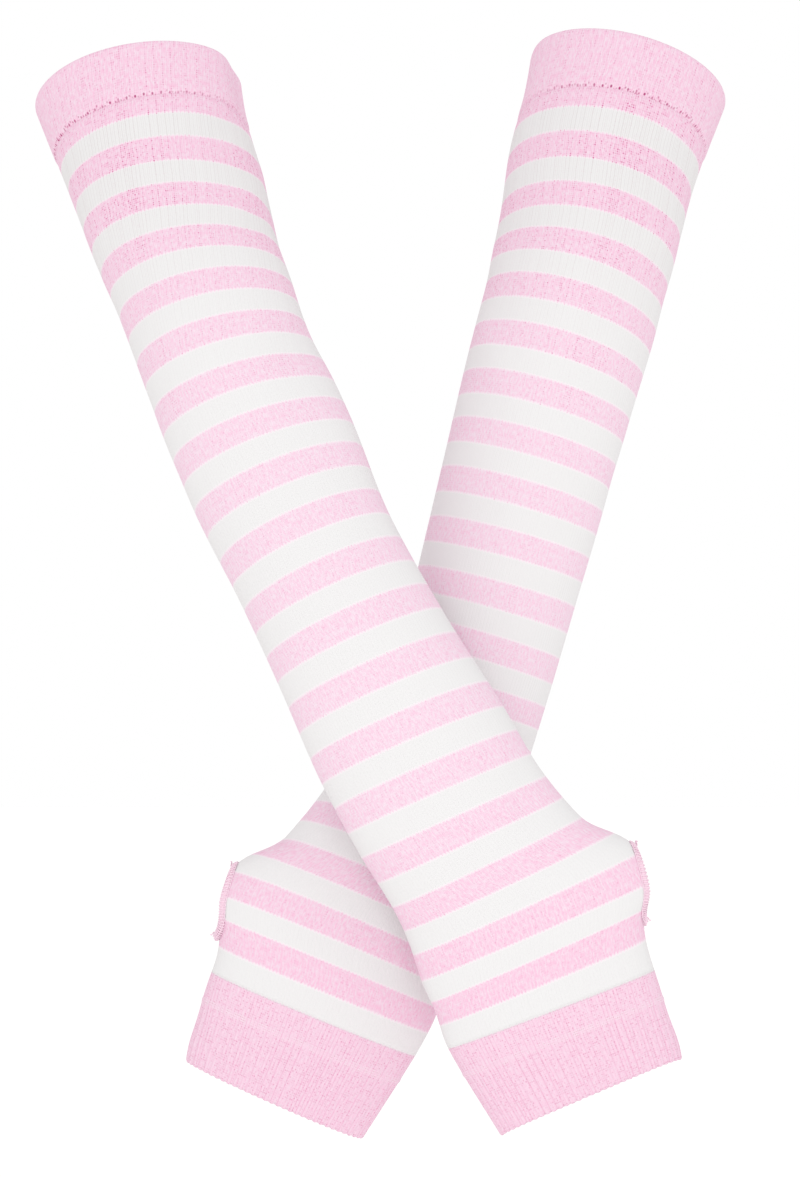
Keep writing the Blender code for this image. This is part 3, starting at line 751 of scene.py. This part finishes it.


# Rib is the same yarn: each raised wale is a column of V stitches, and the sunk wales
# between them are nearly hidden. The sunk wales, the gaps and the pin holes between the
# stitches are painted deeper pink as shade, and the rib's whole pink is painted a little
# deeper, as the jersey is towards the cuff.
def rib_knit(name):
    cloth, shader = new_cloth(name)
    knit = knit_pattern(cloth, 2 * RIBS, 0.15)
    place = add_node(cloth, "ShaderNodeUVMap", uv_map="knit")[0]
    place = add_node(cloth, "ShaderNodeSeparateXYZ", {0: place})
    rib = add_node(cloth, "ShaderNodeMath", {0: place[0], 1: float(RIBS)}, operation="MULTIPLY")[0]
    rib = add_node(cloth, "ShaderNodeMath", {0: rib, 1: 0.5}, operation="PINGPONG")[0]
    sunk = add_node(cloth, "ShaderNodeMapRange", {"Value": rib, "From Min": 0.22, "From Max": 0.5})[0]
    ribbed = add_node(
        cloth,
        "ShaderNodeMapRange",
        {"Value": knit["course"], "From Min": PLAIN_CUFF_END - 0.3, "From Max": PLAIN_CUFF_END + 1.2},
    )[0]
    sunk = add_node(cloth, "ShaderNodeMath", {0: sunk, 1: ribbed}, operation="MULTIPLY")[0]
    # The rib's pink is painted deeper, the same painted shade as the jersey's towards the cuff, with an uneven grain
    # along its columns.
    shade = add_node(
        cloth, "ShaderNodeMapRange", {"Value": knit["grain"], "To Min": 0.28, "To Max": 0.6}
    )[0]
    pink = add_node(
        cloth, "ShaderNodeMix", {0: shade, 6: dye(PINK_YARN), 7: dye(DEEP_TONE_AND_SHADE_PINK)}, data_type="RGBA"
    )[2]
    between = add_node(
        cloth,
        "ShaderNodeMapRange",
        {"Value": knit["middle"], "From Min": 0.05, "From Max": 0.5, "To Min": 0.23, "To Max": 0.0},
    )[0]
    between = add_node(cloth, "ShaderNodeMath", {0: between, 1: knit["column"]}, operation="MULTIPLY")[0]
    # Painted shade: the sunk wales and the gaps between the stitches are drawn deeper pink.
    sunk = add_node(cloth, "ShaderNodeMath", {0: sunk, 1: 0.05, 2: between}, operation="MULTIPLY_ADD")[0]
    colour = add_node(cloth, "ShaderNodeMix", {0: sunk, 6: pink, 7: dye("#D9629F")}, data_type="RGBA")[2]
    strength = add_node(cloth, "ShaderNodeMath", {0: knit["own"], 1: 3.0}, operation="POWER")[0]
    # The first rounds of the rib stand a little higher, so here and there one catches more light: the ridge is in the
    # mesh, and the lighter rounds on it are a painted highlight.
    line = add_node(cloth, "ShaderNodeMath", {0: knit["course"], 1: PLAIN_CUFF_END, 2: 1.3}, operation="COMPARE")[0]
    for part in (strength, 0.55):
        line = add_node(cloth, "ShaderNodeMath", {0: line, 1: part}, operation="MULTIPLY")[0]
    colour = add_node(cloth, "ShaderNodeMix", {0: line, 6: colour, 7: dye("#EBE3E7")}, data_type="RGBA")[2]
    # Painted shade: the pin holes between the stitches are drawn dark.
    pin = add_node(cloth, "ShaderNodeMath", {0: strength, 1: knit["gap"]}, operation="MULTIPLY")[0]
    pin = add_node(cloth, "ShaderNodeMath", {0: pin, 1: 0.5}, operation="MULTIPLY")[0]
    colour = add_node(cloth, "ShaderNodeMix", {0: pin, 6: colour, 7: dye("#C8588F")}, data_type="RGBA")[2]
    cloth.node_tree.links.new(colour, shader.inputs["Base Color"])
    bump = add_node(
        cloth, "ShaderNodeBump", {"Strength": 0.3, "Distance": 0.22 * MM, "Height": knit["height"]}
    )[0]
    cloth.node_tree.links.new(bump, shader.inputs["Normal"])
    return cloth


pink_rib = rib_knit("cotton_rib")

for side, sleeve in SLEEVES.items():
    cuff = ribbed_cuff(side + "_ribbed_cuff", sleeve)
    cuff.data.materials.append(pink_rib)
    cuff.data.materials.append(pink_inside)
    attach(cuff, "root")
    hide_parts(side + "_cuff")
    sleeve["cuff"] = cuff

# Thumb edges. The cut edge of each thumb hole is overlocked: loops of soft thread wrap it
# close together, and a row of needle stitches holds them to the jersey.
EDGE_WIDTH = 2.4
EDGE_THICKNESS = 2.6
SEAM_GAP = 0.3
THREAD = 0.3
WRAP_PITCH = 0.95
BITE = 1.1
NEEDLE_THREAD = 0.2
TAILS = (170, 176, 182, 188, 356, 2, 8)


def rim_frame(sleeve, angles, inset):
    """Places round the thumb hole, inset from its rim, with their directions out of the cloth
    and towards the hole's middle."""
    course = sleeve["hole"] + np.cos(angles) * HOLE_HALF_LENGTH
    around = np.sin(angles) * HOLE_HALF_SHARE
    here = cloth_point(sleeve, course, around)
    normal = cloth_normal(sleeve, course, around)
    here = here - normal * (TUBE_WALL / 2) * MM
    along = np.roll(here, -1, axis=0) - np.roll(here, 1, axis=0)
    inward = np.cross(along, normal)
    inward /= np.linalg.norm(inward, axis=1, keepdims=True)
    middle = cloth_point(sleeve, sleeve["hole"], 0.0)
    if np.sum((middle - here) * inward) < 0:
        inward = -inward
    return here + inward * inset * MM, normal, inward


def swept(edit, centres, radius, sides, closed):
    """A round thread along a line of centres, as faces of an edit mesh."""
    centres = np.asarray(centres, float)
    ahead = np.roll(centres, -1, axis=0) - np.roll(centres, 1, axis=0)
    if not closed:
        ahead[0], ahead[-1] = centres[1] - centres[0], centres[-1] - centres[-2]
    ahead /= np.linalg.norm(ahead, axis=1, keepdims=True)
    across = np.cross(ahead, [0.31, 0.87, 0.38])
    across /= np.linalg.norm(across, axis=1, keepdims=True)
    other = np.cross(ahead, across)
    rings = []
    for c, a, o in zip(centres, across, other):
        ring = []
        for k in range(sides):
            turn = 2 * math.pi * k / sides
            ring.append(edit.verts.new(c + (a * math.cos(turn) + o * math.sin(turn)) * radius * MM))
        rings.append(ring)
    pairs = list(zip(rings, rings[1:])) + ([(rings[-1], rings[0])] if closed else [])
    for one, two in pairs:
        for k in range(sides):
            m = (k + 1) % sides
            edit.faces.new((one[k], one[m], two[m], two[k]))
    if not closed:
        edit.faces.new(rings[0][::-1])
        edit.faces.new(rings[-1])


def overlocked_edge(name, sleeve):
    angles = np.linspace(0, 2 * math.pi, 181)[:-1]
    inset = SEAM_GAP + EDGE_WIDTH / 2
    centre, normal, inward = rim_frame(sleeve, angles, inset)
    edit = bmesh.new()
    core = []
    for c, n, w in zip(centre, normal, inward):
        ring = []
        for k in range(10):
            turn = 2 * math.pi * k / 10
            across = (EDGE_WIDTH + BITE + SEAM_GAP) / 2 - 0.3
            offset = w * (math.cos(turn) * across + EDGE_WIDTH / 2 - 0.3 - across)
            offset += n * math.sin(turn) * (EDGE_THICKNESS / 2 - 0.3)
            ring.append(edit.verts.new(c + offset * MM))
        core.append(ring)
    for one, two in zip(core, core[1:] + core[:1]):
        for k in range(10):
            m = (k + 1) % 10
            edit.faces.new((one[k], one[m], two[m], two[k]))
    length = np.linalg.norm(np.roll(centre, -1, axis=0) - centre, axis=1).sum() / MM
    wraps = int(length / WRAP_PITCH)
    steps = 14
    turns = np.arange(wraps * steps) / steps
    at = turns / wraps * len(angles)
    i = at.astype(int) % len(angles)
    share = (at - at.astype(int))[:, None]
    j = (i + 1) % len(angles)
    place = centre[i] * (1 - share) + centre[j] * share
    n = normal[i] * (1 - share) + normal[j] * share
    w = inward[i] * (1 - share) + inward[j] * share
    spin = 2 * math.pi * turns
    across = (EDGE_WIDTH - 0.12 + BITE + SEAM_GAP) / 2
    aside = np.cos(spin) * across + EDGE_WIDTH / 2 - 0.12 - across
    rise = EDGE_THICKNESS / 2 - 0.12
    line = place + (w * aside[:, None] + n * np.sin(spin)[:, None] * rise) * MM
    swept(edit, line, THREAD, 5, True)
    needle_line = rim_frame(sleeve, angles, -BITE)
    swept(edit, needle_line[0] + needle_line[1] * (TUBE_WALL / 2 + 0.1) * MM, NEEDLE_THREAD, 5, True)
    for start in TAILS:
        at = int(start / 360 * len(angles))
        steps = np.linspace(0, 1, 9)[:, None]
        out = centre[at] - centre.mean(axis=0)
        out /= np.linalg.norm(out)
        far = 1.2 + 0.6 * math.sin(start)
        tail = centre[at] + normal[at] * (1.0 + steps * far) * MM + out * steps * (1.4 - 0.5 * far) * MM
        tail = tail + np.sin(steps * (4.0 + start % 3)) * inward[at] * 0.5 * MM
        swept(edit, tail, NEEDLE_THREAD, 5, False)
    mesh = bpy.data.meshes.new(name)
    bmesh.ops.recalc_face_normals(edit, faces=edit.faces)
    edit.to_mesh(mesh)
    edit.free()
    mesh.shade_smooth()
    piece = bpy.data.objects.new(name, mesh)
    bpy.context.scene.collection.objects.link(piece)
    return piece


# Overlock thread is soft spun polyester, a little deeper in colour than the yarn, twisted
# in two plies; its fibres show as an uneven grain, 0.6 mm coarse.
def spun_thread(name):
    cloth, shader = new_cloth(name)
    spot = add_node(cloth, "ShaderNodeTexCoord")["Object"]
    ply = add_node(
        cloth,
        "ShaderNodeTexNoise",
        {"Vector": spot, "Scale": 1600.0, "Detail": 2.0, "Roughness": 0.6},
    )["Fac"]
    colour = add_node(
        cloth, "ShaderNodeMix", {0: ply, 6: dye("#EBC6D8"), 7: dye("#F4E0EA")}, data_type="RGBA"
    )[2]
    cloth.node_tree.links.new(colour, shader.inputs["Base Color"])
    bump = add_node(cloth, "ShaderNodeBump", {"Strength": 0.5, "Distance": 0.1 * MM, "Height": ply})[0]
    cloth.node_tree.links.new(bump, shader.inputs["Normal"])
    return cloth


overlock_thread = spun_thread("spun_polyester_thread")

for side, sleeve in SLEEVES.items():
    edge = overlocked_edge(side + "_overlocked_thumb_edge", sleeve)
    edge.data.materials.append(overlock_thread)
    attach(edge, "root")
    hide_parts(side + "_thumb_edge")
    sleeve["edge"] = edge

# The studio: a wide, plain floor of white paper lit from below through it, in a white room,
# with one soft panel in front.
FLOOR_Z = -0.62
bpy.ops.object.select_all(action="DESELECT")
bpy.ops.mesh.primitive_plane_add(size=12.0, location=(0.1, 0.0, FLOOR_Z))
floor = bpy.context.object
floor.name = "studio_floor"
bpy.ops.object.transform_apply(location=True, rotation=True, scale=True)
paper = bpy.data.materials.new("matt_white_paper")
paper.use_nodes = True
paper.node_tree.nodes["Principled BSDF"].inputs["Base Color"].default_value = dye("#F8F7F6")
paper.node_tree.nodes["Principled BSDF"].inputs["Roughness"].default_value = 0.95
paper.node_tree.nodes["Principled BSDF"].inputs["Emission Color"].default_value = (1.0, 1.0, 1.0, 1.0)
paper.node_tree.nodes["Principled BSDF"].inputs["Emission Strength"].default_value = 0.12
floor.data.materials.append(paper)

scene = bpy.context.scene
world = bpy.data.worlds.new("studio_air")
world.use_nodes = True
world.node_tree.nodes["Background"].inputs["Color"].default_value = (1.0, 1.0, 1.0, 1.0)
world.node_tree.nodes["Background"].inputs["Strength"].default_value = 1.0
scene.world = world


def soft_panel(name, place, aim, size, power):
    light = bpy.data.lights.new(name, "AREA")
    light.shape = "RECTANGLE"
    light.size, light.size_y = size
    light.energy = power
    panel = bpy.data.objects.new(name, light)
    panel.location = place
    panel.rotation_euler = (Vector(aim) - Vector(place)).to_track_quat("-Z", "Y").to_euler()
    scene.collection.objects.link(panel)


soft_panel("front_panel", (0.15, -1.7, 0.0), (0.1, 0.0, -0.2), (0.9, 0.9), 5.2)

# The camera looks straight at the pair from the front, 1.5 m before the front cuff.
camera_data = bpy.data.cameras.new("camera")
camera_data.sensor_width = 36.0
camera_data.lens = 120.74
camera = bpy.data.objects.new("camera", camera_data)
camera.location = (0.1046, -1.582, -0.199)
camera.rotation_euler = (math.pi / 2, 0.0, 0.0)
scene.collection.objects.link(camera)
scene.camera = camera
scene.view_settings.view_transform = "Standard"

bpy.context.view_layer.update()
